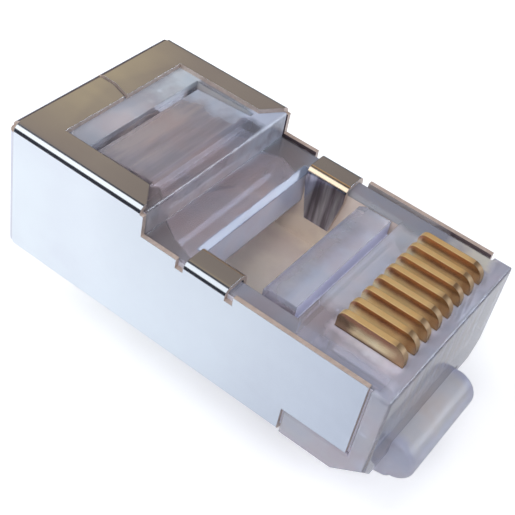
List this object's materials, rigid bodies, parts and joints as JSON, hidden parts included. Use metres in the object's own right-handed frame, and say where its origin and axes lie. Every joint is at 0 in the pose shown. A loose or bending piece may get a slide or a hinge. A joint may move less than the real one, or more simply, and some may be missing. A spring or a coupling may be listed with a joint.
{
  "type": "shielded ethernet plug",
  "caption": "Shielded modular plug for twisted-pair cable: clear moulding with a sprung latch, wrapped in a folded metal shield, with blade contacts in a comb at the nose.",
  "frame": {"origin": "centre of the cable entry, on the rear face of the moulding", "axes": "+Y from the cable end to the nose, +Z to the contact side, +X to the right seen from behind"},
  "size_m": [0.0116, 0.0238, 0.012],
  "materials": {
    "clear_moulding": "clear polycarbonate",
    "plated_sheet": "bright nickel plate",
    "gold_contact": "gold plate"
  },
  "bodies": {
    "plug": {"housing": "clear_moulding", "shield": "plated_sheet", "contact_1": "gold_contact", "contact_2": "gold_contact", "contact_3": "gold_contact", "contact_4": "gold_contact", "contact_5": "gold_contact", "contact_6": "gold_contact", "contact_7": "gold_contact", "contact_8": "gold_contact"},
    "latch": {"latch": "clear_moulding"}
  },
  "joints": [
    {"name": "latch_press", "type": "hinge", "parent": "plug", "child": "latch", "pos_m": [0, 0.0223, -0.00421], "axis": [-1, 0, 0], "range_deg": [0, 12], "stiffness_Nm_per_rad": 0.2}
  ]
}
